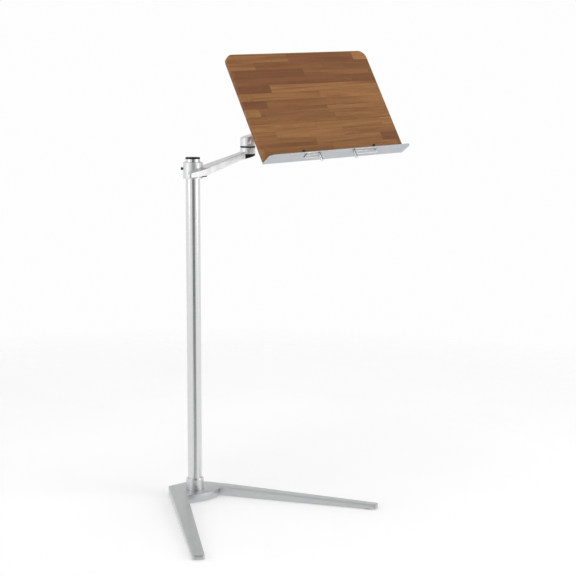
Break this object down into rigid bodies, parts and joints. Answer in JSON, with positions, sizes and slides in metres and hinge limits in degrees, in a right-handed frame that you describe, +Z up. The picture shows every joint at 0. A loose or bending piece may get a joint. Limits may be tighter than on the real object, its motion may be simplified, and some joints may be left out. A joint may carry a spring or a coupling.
{
  "type": "floor book stand",
  "caption": "Floor stand for an open book: V-shaped base, tube pole, two jointed arms, and a tilting, turning wooden board with a metal ledge and page clips.",
  "frame": {"origin": "point on the pole axis at floor level, on the flat rubber disc under the base", "axes": "+Z up along the pole; -Y towards the opening of the V-shaped base; +X to the right as seen from that side"},
  "size_m": [0.7423, 0.3909, 1.0004],
  "materials": {
    "base_coat": "satin silver coat over steel plate",
    "pole_metal": "satin anodised",
    "cast_metal": "satin silver, cast and bead-blasted",
    "sheet_metal": "satin anodised sheet",
    "fastener_steel": "plain zinc-plated",
    "dark_fastener": "blackened",
    "bright_plate": "bright plated",
    "black_plastic": "fine moulded texture",
    "liner_nylon": "natural nylon",
    "black_rubber": "matte",
    "board_wood": "open-grain walnut, satin lacquer"
  },
  "bodies": {
    "stand": {"base_casting": "base_coat", "pad_tip_left": "black_rubber", "pad_tip_right": "black_rubber", "pad_back_left": "black_rubber", "pad_back_right": "black_rubber", "base_bolt_cover": "black_rubber", "base_bolt": "fastener_steel", "base_bolt_washer": "fastener_steel", "pole_foot_plug": "fastener_steel", "pole_tube": "pole_metal", "pole_sleeve": "pole_metal", "pole_cap": "black_plastic"},
    "liner": {"collar_bush": "liner_nylon"},
    "arm_1": {"lower_arm_casting": "cast_metal", "lower_arm_cover": "black_plastic", "elbow_bolt": "fastener_steel", "elbow_washer": "black_plastic"},
    "clamp_screw": {"collar_screw": "dark_fastener"},
    "arm_2": {"upper_arm_casting": "cast_metal", "upper_arm_cover": "black_plastic", "wrist_bolt": "fastener_steel", "wrist_washer": "black_plastic"},
    "yoke": {"tilt_yoke": "cast_metal", "tilt_bolt": "dark_fastener", "tilt_nut": "dark_fastener", "tilt_washer_left": "black_plastic", "tilt_washer_right": "black_plastic"},
    "head": {"tilt_knuckle": "cast_metal", "spin_bolt": "fastener_steel"},
    "rest": {"board": "board_wood", "board_plate": "fastener_steel", "spin_washer": "black_plastic", "plate_screw_1": "fastener_steel", "plate_screw_2": "fastener_steel", "plate_screw_3": "fastener_steel", "plate_screw_4": "fastener_steel", "ledge": "sheet_metal", "ledge_screw_1": "fastener_steel", "ledge_screw_2": "fastener_steel", "ledge_screw_3": "fastener_steel", "ledge_screw_4": "fastener_steel", "clip_screw_left": "fastener_steel", "clip_screw_right": "fastener_steel"},
    "clip_left": {"page_clip_left": "bright_plate", "clip_tip_left": "black_rubber"},
    "clip_right": {"page_clip_right": "bright_plate", "clip_tip_right": "black_rubber"}
  },
  "joints": [
    {"name": "height_slide", "type": "slide", "parent": "stand", "child": "liner", "axis": [0, 0, 1], "range_m": [-0.5, 0]},
    {"name": "arm_swivel", "type": "hinge", "parent": "liner", "child": "arm_1", "pos_m": [0, 0, 0.7365], "axis": [0, 0, 1], "range_deg": [-180, 180]},
    {"name": "clamp_screw_turn", "type": "hinge", "parent": "arm_1", "child": "clamp_screw", "pos_m": [-0.01708, 0.01306, 0.74], "axis": [-0.7944, 0.6074, 0], "range_deg": [-90, 180]},
    {"name": "elbow", "type": "hinge", "parent": "arm_1", "child": "arm_2", "pos_m": [0.14766, -0.01007, 0.78516], "axis": [0, 0, 1], "range_deg": [-15, 60]},
    {"name": "wrist", "type": "hinge", "parent": "arm_2", "child": "yoke", "pos_m": [0.29175, -0.04386, 0.87451], "axis": [0, 0, 1], "range_deg": [-5, 130]},
    {"name": "board_tilt", "type": "hinge", "parent": "yoke", "child": "head", "pos_m": [0.29175, -0.04386, 0.87451], "axis": [-0.9921, 0.1253, 0], "range_deg": [-12, 50]},
    {"name": "board_spin", "type": "hinge", "parent": "head", "child": "rest", "pos_m": [0.29175, -0.04386, 0.87451], "axis": [-0.1062, -0.8404, 0.5314], "range_deg": [-92.6, 87.4]},
    {"name": "clip_left_swing", "type": "hinge", "parent": "rest", "child": "clip_left", "pos_m": [0.22051, -0.16823, 0.77612], "axis": [0.0215, 0.5324, 0.8462], "range_deg": [-14, 8]},
    {"name": "clip_right_swing", "type": "hinge", "parent": "rest", "child": "clip_right", "pos_m": [0.31595, -0.17795, 0.77981], "axis": [0.0215, 0.5324, 0.8462], "range_deg": [-3, 8.5]}
  ]
}
